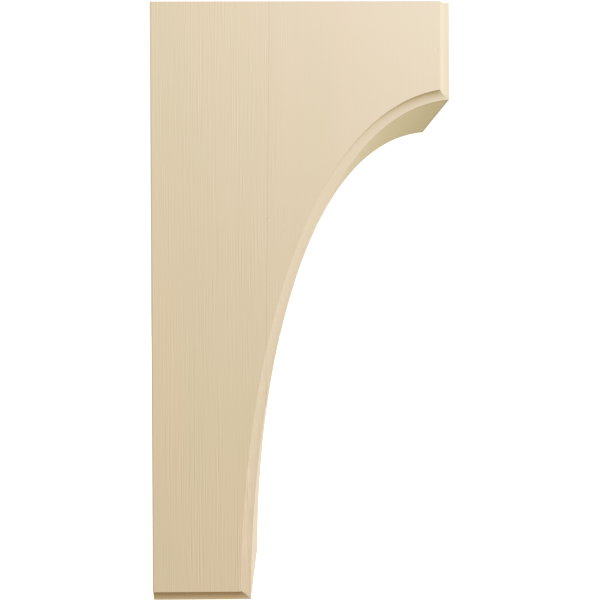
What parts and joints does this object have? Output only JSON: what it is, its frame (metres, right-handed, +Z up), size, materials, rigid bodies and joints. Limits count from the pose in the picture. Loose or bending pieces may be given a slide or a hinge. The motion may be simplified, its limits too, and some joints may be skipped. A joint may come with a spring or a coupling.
{
  "type": "wooden bracket",
  "caption": "Thick wooden wall bracket with a flat back and top, a sweeping hollow-curved front and a small cove along its front and bottom edges.",
  "frame": {"origin": "middle of the flat back face, which goes against the wall", "axes": "+X out from the wall, towards the nose; +Y along the wall, across the bracket's thickness; +Z up, towards the top face"},
  "size_m": [0.1778, 0.1334, 0.3556],
  "materials": {
    "wood": "bare sanded pale hardwood"
  },
  "bodies": {
    "root": {"bracket": "wood"}
  },
  "joints": []
}
